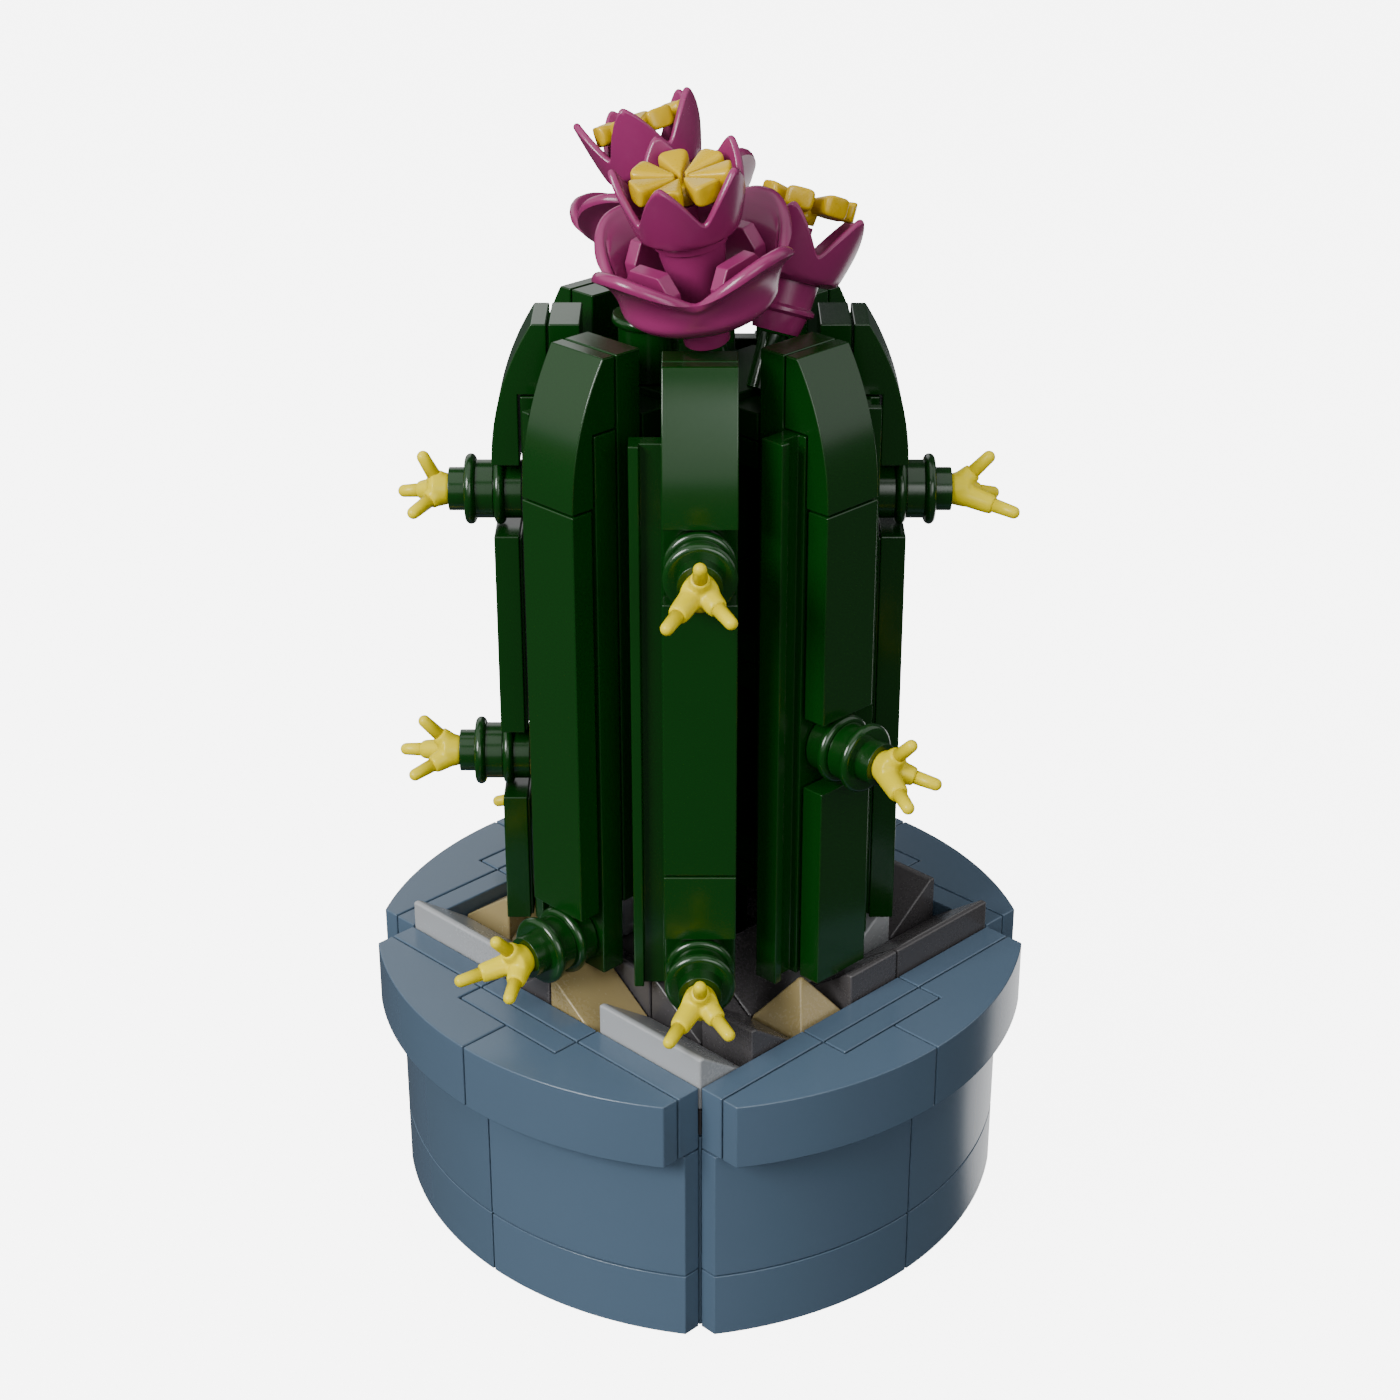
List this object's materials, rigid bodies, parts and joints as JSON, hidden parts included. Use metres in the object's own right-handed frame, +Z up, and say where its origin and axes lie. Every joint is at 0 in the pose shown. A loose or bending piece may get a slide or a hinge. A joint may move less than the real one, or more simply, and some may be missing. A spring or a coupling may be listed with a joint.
{
  "type": "toy brick model of a potted column cactus",
  "caption": "Toy model of a ribbed column cactus built from interlocking bricks, in a round pot with stones and magenta flowers on top.",
  "frame": {"origin": "on the surface the pot stands on, under the middle of the pot", "axes": "+Z up; -Y to the picture's viewer, through a corner of the pot's square core and the front rib; +X to the viewer's right"},
  "size_m": [0.0754, 0.0754, 0.1291],
  "materials": {
    "pot_blue_grey": "glossy moulded plastic, blue-grey",
    "cactus_green": "glossy moulded plastic, dark green",
    "petal_magenta": "satin moulded plastic, magenta",
    "centre_yellow": "glossy moulded plastic, bright yellow",
    "prong_pale_yellow": "satin moulded plastic, pale yellow",
    "stones": "glossy moulded plastic, light grey, dark grey, tan and dark tan pieces"
  },
  "bodies": {
    "root": {"flower_a_centre": "centre_yellow", "flower_a_cup": "petal_magenta", "flower_a_skirt": "petal_magenta", "flower_b_centre": "centre_yellow", "flower_b_cup": "petal_magenta", "flower_b_skirt": "petal_magenta", "flower_c_centre": "centre_yellow", "flower_c_cup": "petal_magenta", "lower_band_1": "pot_blue_grey", "lower_band_2": "pot_blue_grey", "lower_band_3": "pot_blue_grey", "lower_band_4": "pot_blue_grey", "pot_core": "pot_blue_grey", "prong_1": "prong_pale_yellow", "prong_10": "prong_pale_yellow", "prong_11": "prong_pale_yellow", "prong_2": "prong_pale_yellow", "prong_3": "prong_pale_yellow", "prong_4": "prong_pale_yellow", "prong_5": "prong_pale_yellow", "prong_6": "prong_pale_yellow", "prong_7": "prong_pale_yellow", "prong_8": "prong_pale_yellow", "prong_9": "prong_pale_yellow", "rib_back_1": "cactus_green", "rib_back_2": "cactus_green", "rib_back_3": "cactus_green", "rib_back_4": "cactus_green", "rib_back_5": "cactus_green", "rib_back_6": "cactus_green", "rib_back_7": "cactus_green", "rib_back_8": "cactus_green", "rib_face_1": "cactus_green", "rib_face_2": "cactus_green", "rib_face_3": "cactus_green", "rib_face_4": "cactus_green", "rib_face_5": "cactus_green", "rib_face_6": "cactus_green", "rib_face_7": "cactus_green", "rib_face_8": "cactus_green", "rim_plates_1": "pot_blue_grey", "rim_plates_2": "pot_blue_grey", "rim_plates_3": "pot_blue_grey", "rim_plates_4": "pot_blue_grey", "rim_slope_1_left": "pot_blue_grey", "rim_slope_1_right": "pot_blue_grey", "rim_slope_2_left": "pot_blue_grey", "rim_slope_2_right": "pot_blue_grey", "rim_slope_3_left": "pot_blue_grey", "rim_slope_3_right": "pot_blue_grey", "rim_slope_4_left": "pot_blue_grey", "rim_slope_4_right": "pot_blue_grey", "stone_bed": "stones", "trunk": "cactus_green", "upper_band_1": "pot_blue_grey", "upper_band_2": "pot_blue_grey", "upper_band_3": "pot_blue_grey", "upper_band_4": "pot_blue_grey"}
  },
  "joints": []
}
